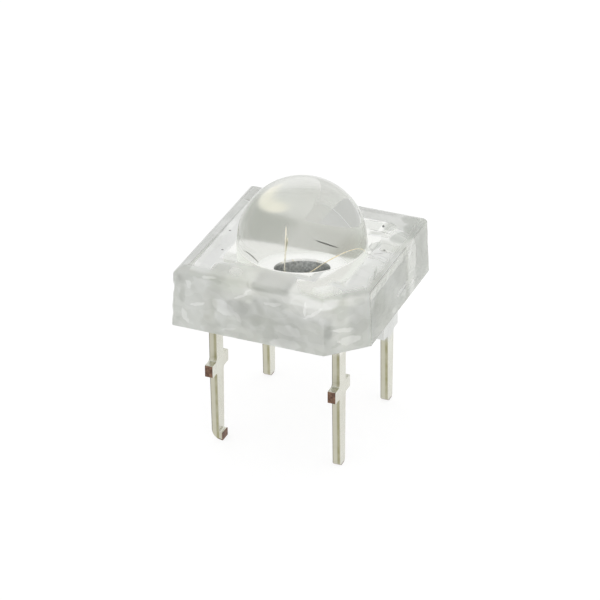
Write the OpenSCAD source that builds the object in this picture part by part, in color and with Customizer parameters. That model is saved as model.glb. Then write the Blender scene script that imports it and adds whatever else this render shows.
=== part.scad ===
// Clear through-hole LED: a square moulded body with a dome lens on four stamped leads.
// Millimetres, z up. The lead tips stand on z = 0 and the lens axis is the z axis.
// The body's cut corner, which marks polarity, is at +x -y.

/* [Body] */
// Side of the square body at its base
body_w = 7.64; // [7.5:0.02:8.4]
// Height of the square body
body_h = 2.48; // [2.4:0.02:3]
// Inward lean of the side walls, in degrees
wall_draft = 2; // [0:0.1:4]
// Length of wall that the polarity corner takes off each side
corner_cut = 1.38; // [1:0.02:1.6]
// Rounding of the upright corners
corner_r = 0.1; // [0.06:0.01:0.3]
// Reach of the rounding round the top, in from the walls
top_edge_w = 0.62; // [0.2:0.02:0.7]
// Drop of that rounding, down the walls
top_edge_h = 0.27; // [0.1:0.01:0.4]
// Reach of the resin that wets each lead below the base
meniscus_r = 0.26; // [0.1:0.02:0.4]
// Thickness of the resin where it thins out on a lead
film_t = 0.02; // [0.01:0.005:0.04]
// Length of the run of resin that went down the +x +y lead
run_l = 1.68; // [0.5:0.02:1.68]
// Thickness of that run where it leaves the base
run_t = 0.16; // [0.08:0.01:0.2]

/* [Lens] */
// Diameter of the dome
lens_d = 5; // [4.6:0.1:5.6]
// Height of the dome's centre over the body's top
lens_foot = 0.04; // [0.04:0.02:0.4]
// Fillet where the lens stands on the top
lens_fillet_r = 0.03; // [0.02:0.01:0.04]

/* [Leads] */
// Distance between lead centres, the same along both sides
lead_pitch = 5.08; // [5:0.02:5.2]
// Thickness of the stamped strip
strip_t = 0.32; // [0.25:0.01:0.36]
// Width of a lead where it leaves the body
lead_w = 0.6; // [0.5:0.02:0.66]
// Width of a lead just above its tip
tip_w = 0.48; // [0.36:0.02:0.5]
// Corner taken off each side of a tip
tip_cut = 0.1; // [0.04:0.02:0.14]
// Length of the leads below the body
lead_drop = 5.45; // [4.5:0.05:8]
// Inside radius of the lead frame's bends
bend_r = 0.12; // [0.06:0.02:0.2]
// Inside radius of the one tip that was bent under
hook_r = 0.06; // [0.04:0.01:0.1]
// Length of that tip past its bend
hook_tail = 0.08; // [0.02:0.02:0.2]

/* [Cut tie bars] */
// Drop from the body to the edge of the tie bars that seats on a board
standoff = 2.36; // [1.4:0.02:2.8]
// Height of the tie bars
tie_h = 0.52; // [0.4:0.02:0.7]
// Length over both cut ends of a tie bar
tie_l = 1.5; // [1.2:0.05:1.6]
// Rounding of the cut ends' corners
tie_corner_r = 0.05; // [0.02:0.01:0.1]
// Fillet between a lead and its tie bar's upper edge
tie_upper_web = 0.14; // [0.06:0.02:0.2]
// Fillet between a lead and its tie bar's seating edge
tie_lower_web = 0.1; // [0.04:0.02:0.14]

/* [Lead frame plates] */
// Height of the plates' top face over the body's base
plate_rise = 1.7; // [1.6:0.05:1.8]
// Width that an arm has past its lead's outer edge
arm_out = 0.26; // [0.2:0.02:0.3]
// Gap between the plates and their arms
arm_gap = 0.34; // [0.3:0.01:0.5]
// Gap between the two plates
plate_gap = 0.3; // [0.2:0.01:0.35]
// Metal left between the cup's rim and the edge of its plate
rim_margin = 0.12; // [0.06:0.01:0.16]
// Width of the bridges from the cup's plate to its arms
bridge_w = 1; // [0.7:0.05:1.1]
// Length of arm between a bend and a bridge
bridge_inset = 0.5; // [0.3:0.05:0.6]
// Width of the post plate's spine
spine_w = 0.5; // [0.4:0.02:0.6]
// Length of arm that runs past the spine, over to the cup's side
arm_tail = 0.7; // [0.4:0.05:0.8]
// Rounding of the plates' corners
plate_corner_r = 0.12; // [0.05:0.01:0.14]

/* [Reflector cup] */
// Floor left round the adhesive
cup_clear = 0.01; // [0.005:0.005:0.03]
// Outward lean of the cup's wall, from floor to mouth
cup_slope_w = 0.07; // [0.04:0.01:0.12]
// Depth of the cup
cup_depth = 0.27; // [0.2:0.01:0.3]
// Width of the coined rim round the cup
rim_w = 0.38; // [0.3:0.01:0.42]
// Height of the coined rim over the plate
rim_h = 0.03; // [0.01:0.01:0.05]
// Metal left round and below the cup
cup_wall = 0.2; // [0.15:0.01:0.25]

/* [Die] */
// Length of the die, along x
die_l = 0.71; // [0.66:0.01:0.74]
// Width of the die, along y
die_w = 0.36; // [0.25:0.01:0.42]
// Height of the die
die_h = 0.12; // [0.08:0.01:0.15]
// Place of the die's centre along x
die_x = -0.16; // [-0.17:0.01:0]
// Thickness of the adhesive below the die
glue_t = 0.015; // [0.01:0.005:0.03]
// Reach of the adhesive past the die's sides
glue_margin = 0.02; // [0.01:0.005:0.03]
// Diameter of the two contact pads
pad_d = 0.1; // [0.09:0.01:0.12]
// Thickness of the contact pads
pad_t = 0.006; // [0.004:0.001:0.01]
// Distance from a pad's centre to the die's end
pad_inset = 0.09; // [0.07:0.005:0.11]

/* [Bond wires] */
// Diameter of the wire
wire_d = 0.026; // [0.024:0.002:0.04]
// Diameter of the pressed ball on a pad
ball_d = 0.085; // [0.07:0.005:0.09]
// Height of the pressed ball
ball_h = 0.03; // [0.02:0.005:0.04]
// Length of the pressed foot on a plate
foot_l = 0.1; // [0.06:0.01:0.14]
// Height over the plate that the cup side's loop is pulled towards
cup_pull = 1.05; // [0.6:0.05:1.1]
// Height over the plate that the post side's loop is pulled towards
post_pull = 1.25; // [0.8:0.05:1.3]
// Distance from the rim to the cup side's foot, along y
cup_foot_gap = 0.19; // [0.1:0.01:0.3]
// Distance from its pad to the cup side's foot, along x
cup_foot_shift = 0.37; // [0.2:0.01:0.5]
// Distance from the middle of the leads to the post side's foot, along x
post_foot_gap = 0.34; // [0.25:0.01:0.5]
// Distance from its pad to the post side's foot, along y
post_foot_shift = 0.6; // [0.4:0.05:0.9]

/* [Hidden] */
$fn = 64;

// Depth that a form fused to the body, or to the strip, is sunk into it
sunk = 0.2;
strip_sunk = 0.05;
// Step in from the strip's edges at each bend, where a real bend is notched so that it doesn't bulge
bend_notch = 0.02;
// Height of one thin level in a hull
slice_h = 0.01;

// Heights
base_z = lead_drop;
top_z = base_z + body_h;
lens_z = top_z + lens_foot;
shoulder_z = base_z + sunk;
plate_z = base_z + plate_rise;
bend_z = plate_z - strip_t - bend_r;
seat_z = base_z - standoff;
cup_floor_z = plate_z - cup_depth;
die_z = cup_floor_z + glue_t;
pad_z = die_z + die_h;
ball_z = pad_z + pad_t;

// The cup's radii, from the adhesive's far corner outward
glue_size = [die_l + 2 * glue_margin, die_w + 2 * glue_margin];
cup_floor_r = norm([abs(die_x) + glue_size.x / 2, glue_size.y / 2]) + cup_clear;
cup_mouth_r = cup_floor_r + cup_slope_w;
rim_r = cup_mouth_r + rim_w;

// Places along x, on the right; the plates' outlines end over the middle of the leads
row_x = lead_pitch / 2;
bend_x = row_x - strip_t / 2 - bend_r;
arm_inner_y = row_x - lead_w / 2;
arm_outer_y = row_x + lead_w / 2 + arm_out;
plate_half = arm_inner_y - arm_gap;
bridge_x = bend_x - bridge_inset;
cup_plate_x = rim_r + rim_margin;
post_plate_x = cup_plate_x + plate_gap;

// Places of the two pads on the die
cup_pad_x = die_x - die_l / 2 + pad_inset;
post_pad_x = die_x + die_l / 2 - pad_inset;

// Centres of the body's five corner roundings at the height z, moved in from its leaning walls
function corners_at(z, inset) =
    let (
        reach = (z - base_z) * tan(wall_draft) + inset + corner_r,
        half = body_w / 2 - reach,
        cut = corner_cut - reach * (1 - tan(22.5))
    )
    [[-half, -half], [half - cut, -half], [half, cut - half], [half, half], [-half, half]];

// A rectangle with its corners rounded, from one corner to the other
module round_square(low, high, r) {
    size = high - low;
    translate(low) {
        translate([r, 0]) square([size.x - 2 * r, size.y]);
        translate([0, r]) square([size.x, size.y - 2 * r]);
        for (x = [r, size.x - r], y = [r, size.y - r]) translate([x, y]) circle(r);
    }
}

// The web that rounds an inner corner, whose edges run along +x and +y from the origin
module corner_web(r) {
    difference() {
        translate([-strip_sunk, -strip_sunk]) square(r + strip_sunk);
        translate([r, r]) circle(r);
    }
}

// One level of the body's hull: a thin disc in each corner
module corner_discs(z, inset = 0) {
    for (p = corners_at(z, inset)) translate([p.x, p.y, z]) cylinder(r = corner_r, h = slice_h, $fn = 32);
}

// The square body: leaning walls, and a rounding that turns from them into the flat top
module body_block() {
    hull() {
        corner_discs(base_z);
        for (turn = [0 : 15 : 90])
            corner_discs(top_z - slice_h - top_edge_h * (1 - sin(turn)), top_edge_w * (1 - cos(turn)));
    }
}

// The dome on its short round foot, sunk into the body's top
module lens() {
    rotate_extrude() {
        intersection() {
            union() {
                translate([0, lens_z]) circle(d = lens_d, $fn = 128);
                translate([0, top_z - sunk]) square([lens_d / 2, lens_foot + sunk]);
            }
            translate([0, top_z - sunk]) square([lens_d, lens_d]);
        }
        translate([lens_d / 2, top_z]) corner_web(lens_fillet_r);
    }
}

// Resin that climbs down two opposite faces of a lead, as a flare that is hollow outward
module flare(half) {
    edge = half + film_t;
    reach = edge + meniscus_r;
    rotate([90, 0, 0]) linear_extrude(2 * (lead_w + meniscus_r), center = true) difference() {
        translate([-reach, -meniscus_r]) square([2 * reach, meniscus_r + sunk]);
        for (s = [-1, 1]) translate([s * reach, -meniscus_r]) circle(meniscus_r);
    }
}

// The resin round each lead, where the flares on its faces and on its edges cross
module wetting() {
    for (x = [-row_x, row_x], y = [-row_x, row_x]) translate([x, y, base_z])
        intersection() {
            flare(strip_t / 2);
            rotate([0, 0, 90]) flare(lead_w / 2);
        }
}

// The run of resin that went down one lead as the body was cast, and thins out above the tie bar
module resin_run() {
    thin = 2 * film_t;
    thick = 2 * run_t;
    translate([row_x, row_x, base_z]) hull() {
        linear_extrude(sunk) {
            square([strip_t + thick, lead_w], center = true);
            square([strip_t, lead_w + thick], center = true);
        }
        translate([0, 0, -run_l]) linear_extrude(slice_h)
            square([strip_t + thin, lead_w + thin], center = true);
    }
}

// Outline of one lead as stamped: across from its middle, and up from where it starts
module lead_outline(start_z) {
    half = lead_w / 2;
    out = half + arm_out;
    tip = tip_w / 2;
    square_tip = [[-tip, start_z], [tip, start_z]];
    cut_tip = [[-tip, tip_cut], [tip_cut - tip, 0], [tip - tip_cut, 0], [tip, tip_cut]];
    polygon(concat(
        start_z > 0 ? square_tip : cut_tip,
        [[half, seat_z], [half, shoulder_z], [out, shoulder_z + arm_out], [out, bend_z]],
        [[-half, bend_z], [-half, seat_z]]
    ));
    round_square([-tie_l / 2, seat_z], [tie_l / 2, seat_z + tie_h], tie_corner_r);
    for (s = [0, 1]) mirror([s, 0]) {
        translate([half, seat_z + tie_h]) corner_web(tie_upper_web);
        translate([half, seat_z]) mirror([0, 1]) corner_web(tie_lower_web);
    }
}

// Bend about the y axis, from strip that comes along +x to strip that goes down at the far side
module strip_bend(r_in, width) {
    r_out = r_in + strip_t;
    translate([0, bend_notch, 0]) {
        depth = width - 2 * bend_notch;
        intersection() {
            rotate([-90, 0, 0]) difference() {
                cylinder(r = r_out, h = depth);
                translate([0, 0, -strip_sunk]) cylinder(r = r_in, h = depth + 2 * strip_sunk);
            }
            cube([r_out, depth, r_out]);
        }
        translate([-strip_sunk, 0, r_in]) cube([strip_sunk, depth, strip_t]);
        translate([r_in, 0, -strip_sunk]) cube([strip_t, depth, strip_sunk]);
    }
}

// Tip of the one lead that was bent under as the strip was cut off, towards the body's middle
module hooked_tip() {
    translate([-strip_t / 2 - hook_r, -tip_w / 2, hook_r + strip_t]) mirror([0, 0, 1]) {
        strip_bend(hook_r, tip_w);
        translate([-hook_tail, 0, hook_r]) cube([hook_tail, tip_w, strip_t]);
    }
}

// The lead at the +x +y corner, with its bend
module lead(hooked = false) {
    translate([row_x, row_x, 0]) {
        translate([-strip_t / 2, 0, 0]) rotate([90, 0, 90])
            linear_extrude(strip_t) lead_outline(hooked ? hook_r + strip_t : 0);
        if (hooked) hooked_tip();
    }
    translate([bend_x, arm_inner_y, bend_z]) strip_bend(bend_r, arm_outer_y - arm_inner_y);
}

// Arm of a plate, square where it runs into a lead's bend and round at its other end
module arm(end_x) {
    round_square([end_x, arm_inner_y], [bend_x, arm_outer_y], plate_corner_r);
    translate([bend_x - plate_corner_r, arm_inner_y]) square([plate_corner_r, arm_outer_y - arm_inner_y]);
}

// Outline of the plate that carries the cup, drawn as if on the right
module cup_plate_outline() {
    round_square([-cup_plate_x, -plate_half], [row_x, plate_half], plate_corner_r);
    for (s = [0, 1]) mirror([0, s]) {
        arm(bridge_x - bridge_w);
        translate([bridge_x - bridge_w, 0]) square([bridge_w, arm_inner_y + plate_corner_r]);
    }
}

// Outline of the plate that takes the second wire
module post_plate_outline() {
    round_square([post_plate_x, -plate_half], [row_x, plate_half], plate_corner_r);
    for (s = [0, 1]) mirror([0, s]) {
        arm(post_plate_x - arm_tail);
        translate([post_plate_x, 0]) square([spine_w, arm_inner_y + plate_corner_r]);
    }
}

module plate() {
    translate([0, 0, plate_z - strip_t]) linear_extrude(strip_t) children();
}

// The metal pushed down round the cup, and the rim coined proud of the plate
module cup_metal() {
    translate([0, 0, plate_z - strip_t / 2]) cylinder(r = rim_r, h = strip_t / 2 + rim_h);
    translate([0, 0, cup_floor_z - cup_wall])
        cylinder(r1 = cup_floor_r, r2 = cup_mouth_r + cup_wall, h = cup_depth + cup_wall - strip_t / 2);
}

// The space in the cup, which goes on up at the same lean through the rim
module cup_space() {
    high = cup_depth + 2 * rim_h;
    translate([0, 0, cup_floor_z])
        cylinder(r1 = cup_floor_r, r2 = cup_floor_r + cup_slope_w * high / cup_depth, h = high);
}

module cup_lead_frame() {
    color("silver") difference() {
        union() {
            mirror([1, 0, 0]) {
                plate() cup_plate_outline();
                lead();
                mirror([0, 1, 0]) lead(hooked = true);
            }
            cup_metal();
        }
        cup_space();
    }
}

module post_lead_frame() {
    color("silver") {
        plate() post_plate_outline();
        for (s = [0, 1]) mirror([0, s, 0]) lead();
    }
}

module die_adhesive() {
    color("gainsboro") translate([die_x, 0, cup_floor_z])
        linear_extrude(glue_t) square(glue_size, center = true);
}

module led_die() {
    color("lightsteelblue") translate([die_x, 0, die_z])
        linear_extrude(die_h) square([die_l, die_w], center = true);
}

module pad(x) {
    color("gold") translate([x, 0, pad_z]) cylinder(d = pad_d, h = pad_t, $fn = 24);
}

// Bond wires: a pressed ball on the pad, a loop, and a foot pressed flat on a plate
wire_sides = 8;
loop_steps = 18;
wire_r = wire_d / 2;
// Shape of the ball from its base to its top: share of its height, and share of its radius
ball_shape = [[0, 0.7], [0.25, 1], [0.75, 1], [1, 0.75]];
// The foot is the wire pressed to half its height and twice its width
foot_high = wire_r / 2;
foot_wide = 2 * wire_r;

function loop_at(p, t) =
    pow(1 - t, 3) * p[0] + 3 * pow(1 - t, 2) * t * p[1] + 3 * (1 - t) * t * t * p[2] + t * t * t * p[3];
function loop_heading(p, t) =
    let (v = loop_at(p, t + 0.01) - loop_at(p, t - 0.01)) v / norm(v);

// One ring of points round a centre, and none of them below floor_z
function ring(centre, heading, across, wide, high, floor_z) =
    let (up = cross(heading, across))
    [for (k = [0 : wire_sides - 1]) let (a = 360 * k / wire_sides)
        let (q = centre + across * wide * cos(a) + up * high * sin(a))
        [q.x, q.y, max(q.z, floor_z)]];

// A point that pulls a loop: its share of the way from pad to foot, and its height over the plate
function pull_at(start, foot, share, height) = [
    start.x + share.x * (foot.x - start.x), start.y + share.y * (foot.y - start.y), plate_z + height
];

// A wire from the ball at start to the foot, pulled towards two points on its way
module bond_wire(start, foot, first_pull, second_pull) {
    turn = atan2(foot.y - start.y, foot.x - start.x);
    along = [cos(turn), sin(turn), 0];
    across = [sin(turn), -cos(turn), 0];
    loop = [start + [0, 0, ball_h], first_pull, second_pull, foot];
    balls = [for (b = ball_shape) let (r = b[1] * ball_d / 2)
        ring(start + [0, 0, b[0] * ball_h], [0, 0, 1], across, r, r, start.z)];
    loops = [for (i = [1 : loop_steps - 1]) let (t = i / loop_steps)
        ring(loop_at(loop, t), loop_heading(loop, t), across, wire_r, wire_r, ball_z)];
    feet = [for (u = [0, 0.5, 1]) let (centre = foot + along * foot_l * u + [0, 0, foot_high / 2])
        ring(centre, along, across, foot_wide, foot_high, plate_z)];
    rings = concat(balls, loops, feet);
    count = len(rings);
    sides = [for (i = [0 : count - 2], k = [0 : wire_sides - 1])
        let (a = i * wire_sides + k, b = i * wire_sides + (k + 1) % wire_sides)
        each [[a, b, b + wire_sides], [a, b + wire_sides, a + wire_sides]]];
    ends = [
        [for (k = [0 : wire_sides - 1]) wire_sides - 1 - k],
        [for (k = [0 : wire_sides - 1]) (count - 1) * wire_sides + k]
    ];
    color("gold") polyhedron(points = [for (r = rings) each r], faces = concat(sides, ends));
}

// This loop rises straight off its pad and comes down on the cup's plate behind the rim
module cup_side_wire() {
    start = [cup_pad_x, 0, ball_z];
    foot = [cup_pad_x - cup_foot_shift, rim_r + cup_foot_gap, plate_z];
    bond_wire(
        start, foot,
        pull_at(start, foot, [0, 0], cup_pull), pull_at(start, foot, [0.5, 0.45], cup_pull)
    );
}

// This loop leans across the gap and comes down steeply on the post plate
module post_side_wire() {
    start = [post_pad_x, 0, ball_z];
    foot = [row_x - post_foot_gap, post_foot_shift, plate_z];
    bond_wire(
        start, foot,
        pull_at(start, foot, [0.4, 0], post_pull / 2), pull_at(start, foot, [1, 0.75], post_pull)
    );
}

module cup_side_pad() pad(cup_pad_x);
module post_side_pad() pad(post_pad_x);

module epoxy_body() {
    color("azure", 0.4) difference() {
        union() {
            body_block();
            lens();
            wetting();
            resin_run();
        }
        cup_lead_frame();
        post_lead_frame();
        die_adhesive();
        led_die();
        cup_side_pad();
        post_side_pad();
        cup_side_wire();
        post_side_wire();
    }
}

epoxy_body();
cup_lead_frame();
post_lead_frame();
die_adhesive();
led_die();
cup_side_pad();
post_side_pad();
cup_side_wire();
post_side_wire();
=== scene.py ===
"""Looks of a clear through-hole LED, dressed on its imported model.

The resin body is one closed surface swept from the lens to the base. The stamped lead frames, the
die and the bond wires keep their own solids and get procedural finishes. All lengths are metres.
"""

import bpy
import numpy as np
from bpy.props import FloatProperty, FloatVectorProperty, PointerProperty
from mathutils import Matrix, Vector


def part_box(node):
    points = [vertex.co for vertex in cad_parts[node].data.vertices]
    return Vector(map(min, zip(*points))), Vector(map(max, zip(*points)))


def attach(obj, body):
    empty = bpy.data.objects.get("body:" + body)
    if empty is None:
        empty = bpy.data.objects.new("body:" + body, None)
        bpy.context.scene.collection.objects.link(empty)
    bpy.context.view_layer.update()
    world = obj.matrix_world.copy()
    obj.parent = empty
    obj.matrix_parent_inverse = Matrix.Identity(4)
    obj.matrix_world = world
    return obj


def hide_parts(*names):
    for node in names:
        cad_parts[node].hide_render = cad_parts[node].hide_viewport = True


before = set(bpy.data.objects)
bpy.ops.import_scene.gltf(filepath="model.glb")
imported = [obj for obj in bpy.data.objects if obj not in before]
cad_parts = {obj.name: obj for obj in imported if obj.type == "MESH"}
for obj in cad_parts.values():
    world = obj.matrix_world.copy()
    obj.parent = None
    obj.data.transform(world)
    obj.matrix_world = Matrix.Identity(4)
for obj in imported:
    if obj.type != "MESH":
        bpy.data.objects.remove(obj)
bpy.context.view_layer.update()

bl_info = {
    "name": "Clear Through-Hole LED",
    "version": (1, 0, 0),
    "blender": (4, 5, 0),
    "location": "View3D > Sidebar > LED",
    "description": "Dresses a clear square LED with its resin, plated leads, die and bond wires",
    "category": "Object",
}

MM = 0.001
BODY_LOW, BODY_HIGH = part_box("epoxy_body")
PLATE_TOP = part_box("post_lead_frame")[1].z

# The mound of resin round the back right lead: centre, reach and depth
MOUND_CENTRE = (2.42 * MM, 2.3 * MM)
MOUND_REACH = (0.5 * MM, 0.95 * MM)
MOUND_DEPTH = 0.16 * MM


class BodySizes(bpy.types.PropertyGroup):
    """Sizes of the resin body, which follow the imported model."""

    width: FloatProperty(
        name="Width", description="Side of the square body at its base",
        default=BODY_HIGH.x - BODY_LOW.x, min=0.0, unit="LENGTH", precision=5)
    base: FloatProperty(
        name="Base Height", description="Height of the body's base over the lead tips",
        default=5.45 * MM, min=0.0, unit="LENGTH", precision=5)
    height: FloatProperty(
        name="Block Height", description="Height of the square block, without the lens",
        default=2.48 * MM, min=0.0, unit="LENGTH", precision=5)
    draft: FloatProperty(
        name="Draft", description="Inward lean of the walls", default=np.radians(2.0),
        min=0.0, subtype="ANGLE")
    cut: FloatProperty(
        name="Polarity Cut", description="Length that the cut corner takes off each wall",
        default=1.38 * MM, min=0.0, unit="LENGTH", precision=5)
    corner: FloatProperty(
        name="Corner Rounding", description="Rounding of the upright corners",
        default=0.1 * MM, min=0.0, unit="LENGTH", precision=5)
    top_edge_wide: FloatProperty(
        name="Top Edge Reach", description="Reach of the rounding round the top, in from the walls",
        default=0.62 * MM, min=0.0, unit="LENGTH", precision=5)
    top_edge_high: FloatProperty(
        name="Top Edge Drop", description="Drop of the rounding round the top, down the walls",
        default=0.27 * MM, min=0.0, unit="LENGTH", precision=5)
    base_edge: FloatProperty(
        name="Base Edge Rounding", description="Rounding of the edge round the base",
        default=0.04 * MM, min=0.0, unit="LENGTH", precision=5)
    lens: FloatProperty(
        name="Lens Radius", description="Radius of the dome",
        default=2.5 * MM, min=0.0, unit="LENGTH", precision=5)
    lens_foot: FloatProperty(
        name="Lens Foot", description="Height of the dome's centre over the block's top",
        default=0.04 * MM, min=0.0, unit="LENGTH", precision=5)
    lens_fillet: FloatProperty(
        name="Lens Fillet", description="Fillet where the lens meets the block's top",
        default=0.03 * MM, min=0.0, unit="LENGTH", precision=5)
    flare: FloatProperty(
        name="Lead Flare", description="Reach of the resin that wets each lead",
        default=0.26 * MM, min=0.0, unit="LENGTH", precision=5)
    base_wave: FloatProperty(
        name="Base Waves", description="Height of the waves in the cast base",
        default=0.02 * MM, min=0.0, unit="LENGTH", precision=5)
    wall_wave: FloatProperty(
        name="Wall Waves", description="Height of the waves in the walls",
        default=0.025 * MM, min=0.0, unit="LENGTH", precision=5)
    lead_pitch: FloatProperty(
        name="Lead Pitch", description="Distance between lead centres",
        default=5.08 * MM, min=0.0, unit="LENGTH", precision=5)
    lead_thick: FloatProperty(
        name="Lead Thickness", description="Thickness of the stamped strip",
        default=0.32 * MM, min=0.0, unit="LENGTH", precision=5)
    lead_wide: FloatProperty(
        name="Lead Width", description="Width of a lead at the base",
        default=0.6 * MM, min=0.0, unit="LENGTH", precision=5)


class FinishColours(bpy.types.PropertyGroup):
    """Colours of the finishes."""

    resin: FloatVectorProperty(
        name="Resin", description="Tint of the clear resin", subtype="COLOR",
        default=(0.985, 0.99, 0.98), min=0.0, max=1.0)
    haze: FloatVectorProperty(
        name="Haze", description="Tint of the hazy walls", subtype="COLOR",
        default=(0.565, 0.58, 0.545), min=0.0, max=1.0)
    plating: FloatVectorProperty(
        name="Plating", description="Colour of the plated leads", subtype="COLOR",
        default=(0.69, 0.69, 0.6), min=0.0, max=1.0)
    worn: FloatVectorProperty(
        name="Dull Plating", description="Colour of the plating where it is dull", subtype="COLOR",
        default=(0.6, 0.59, 0.49), min=0.0, max=1.0)
    inner: FloatVectorProperty(
        name="Sealed Plating", description="Colour of the plating in the resin", subtype="COLOR",
        default=(0.97, 0.97, 0.95), min=0.0, max=1.0)
    sheared: FloatVectorProperty(
        name="Sheared Edge", description="Colour of the strip's sheared edges", subtype="COLOR",
        default=(0.6, 0.58, 0.46), min=0.0, max=1.0)
    copper: FloatVectorProperty(
        name="Bare Copper", description="Colour of the cut ends", subtype="COLOR",
        default=(0.32, 0.2, 0.135), min=0.0, max=1.0)
    tarnish: FloatVectorProperty(
        name="Tarnish", description="Darkest colour of the cut ends", subtype="COLOR",
        default=(0.1, 0.06, 0.05), min=0.0, max=1.0)
    gold: FloatVectorProperty(
        name="Gold", description="Colour of the wires and pads", subtype="COLOR",
        default=(0.95, 0.78, 0.42), min=0.0, max=1.0)
    pale_gold: FloatVectorProperty(
        name="Pale Gold", description="Lightest colour of the wires", subtype="COLOR",
        default=(1.0, 0.95, 0.82), min=0.0, max=1.0)
    die: FloatVectorProperty(
        name="Die", description="Colour of the die", subtype="COLOR",
        default=(0.35, 0.38, 0.4), min=0.0, max=1.0)


class StageSettings(bpy.types.PropertyGroup):
    """Place of the camera, from the view that the photograph was taken at."""

    azimuth: FloatProperty(
        name="Azimuth", description="Turn of the camera round the object",
        default=np.radians(22.736), subtype="ANGLE")
    elevation: FloatProperty(
        name="Elevation", description="Height angle of the camera",
        default=np.radians(30.152), subtype="ANGLE")
    roll: FloatProperty(
        name="Roll", description="Roll of the camera", default=np.radians(-0.411), subtype="ANGLE")
    distance: FloatProperty(
        name="Distance", description="Distance from the middle of the body's base",
        default=119.661 * MM, unit="LENGTH")
    offset: FloatVectorProperty(
        name="Offset", description="Sideways and upward shift of the camera", size=2,
        default=(-0.092 * MM, -0.109 * MM), unit="LENGTH", precision=5)
    focal: FloatProperty(
        name="Focal Length", description="Focal length on a 36 mm sensor, in millimetres",
        default=185.99, min=1.0)


# Shapes


def mesh_piece(name, rings, close_start, close_end):
    """A closed-loop grid of rings, shape (rings, points, 3), made into a mesh object.

    Neighbouring rings are joined by quads. close_start and close_end are the pole points that
    close the first and the last ring with a fan of triangles.
    """
    count, around = rings.shape[:2]
    points = np.concatenate([rings.reshape(-1, 3), [close_start, close_end]])
    here = np.arange(count * around).reshape(count, around)
    ahead = np.roll(here, -1, axis=1)
    quads = np.stack([here[:-1], here[1:], ahead[1:], ahead[:-1]], axis=-1).reshape(-1, 4)
    first = np.stack([here[0], ahead[0], np.full(around, count * around)], axis=-1)
    last = np.stack([ahead[-1], here[-1], np.full(around, count * around + 1)], axis=-1)
    corners = np.concatenate([quads.ravel(), first.ravel(), last.ravel()])
    sizes = np.concatenate([np.full(len(quads), 4), np.full(2 * around, 3)])
    starts = np.concatenate([[0], np.cumsum(sizes)[:-1]])
    mesh = bpy.data.meshes.new(name)
    mesh.vertices.add(len(points))
    mesh.vertices.foreach_set("co", points.astype(np.float32).ravel())
    mesh.loops.add(len(corners))
    mesh.loops.foreach_set("vertex_index", corners.astype(np.int32))
    mesh.polygons.add(len(sizes))
    mesh.polygons.foreach_set("loop_start", starts.astype(np.int32))
    mesh.update(calc_edges=True)
    mesh.validate()
    mesh.polygons.foreach_set("use_smooth", np.ones(len(sizes), bool))
    piece = bpy.data.objects.new(name, mesh)
    bpy.context.scene.collection.objects.link(piece)
    return piece


def corner_centres(size, height, inset=0.0):
    """Centres of the body's five corner roundings: each wall leans in with height by its draft."""
    reach = (height - size.base) * np.tan(size.draft) + inset + size.corner
    half = size.width / 2 - reach
    cut = size.cut - reach * (1 - np.tan(np.pi / 8))
    return np.array(
        [[-half, -half], [half - cut, -half], [half, cut - half], [half, half], [-half, half]])


def outline_ring(centres, radius, per_corner=8, per_wall=84, per_cut=24):
    """The rounded outline: an arc round each centre, then a straight run to the next arc."""
    turns = np.radians([[180, 270], [270, 315], [315, 360], [0, 90], [90, 180]])
    runs = [per_wall, per_cut, per_wall, per_wall, per_wall]
    parts = []
    for k, run in enumerate(runs):
        angle = np.linspace(*turns[k], per_corner)
        arc = centres[k] + radius * np.stack([np.cos(angle), np.sin(angle)], axis=1)
        begin = turns[(k + 1) % 5][0]
        target = centres[(k + 1) % 5] + radius * np.array([np.cos(begin), np.sin(begin)])
        share = (np.arange(run) + 1)[:, None] / (run + 1)
        parts += [arc, arc[-1] * (1 - share) + target * share]
    return np.concatenate(parts)


def lifted(ring, height):
    """A flat ring of points at one height."""
    return np.column_stack([ring, np.broadcast_to(height, len(ring))])


def flare_depth(size, x, y):
    """Depth of the resin that climbs down the leads: full at a lead's face, none at its reach.

    Round the back right lead, where the resin ran down, it also stands out as a mound. The mound
    is a square with rounded corners, and its flat middle drops off smoothly to its reach.
    """
    half = np.array([size.lead_thick, size.lead_wide]) / 2
    dx = np.maximum(np.abs(np.abs(x) - size.lead_pitch / 2) - half[0], 0)
    dy = np.maximum(np.abs(np.abs(y) - size.lead_pitch / 2) - half[1], 0)
    away = np.clip(np.hypot(dx, dy) / size.flare, 0, 1)
    from_mound_x = np.abs(x - MOUND_CENTRE[0]) / MOUND_REACH[0]
    from_mound_y = np.abs(y - MOUND_CENTRE[1]) / MOUND_REACH[1]
    mound = np.clip(4.0 * (1 - (from_mound_x ** 6 + from_mound_y ** 6) ** (1 / 6)), 0, 1)
    flare = size.flare * (1 - away) ** 2.5
    return np.maximum(flare, MOUND_DEPTH * mound ** 2 * (3 - 2 * mound))


def waves(x, y, longest, shortest, count, seed):
    """Sum of plane waves whose headings turn by the golden angle, in the range -1 to 1 or so.

    Each wave is shorter than the one before, in equal ratios, and its height follows its length,
    so that all of them are equally steep.
    """
    k = np.arange(count)
    length = longest * (shortest / longest) ** (k / (count - 1))
    heading = 2.39996 * k + seed
    phase = 1.7 * k ** 2 + 3.1 * seed
    along = np.multiply.outer(x, np.cos(heading)) + np.multiply.outer(y, np.sin(heading))
    heights = np.sin(2 * np.pi * along / length + phase) * length
    return heights.sum(axis=-1) / np.sqrt((length ** 2).sum())


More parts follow.
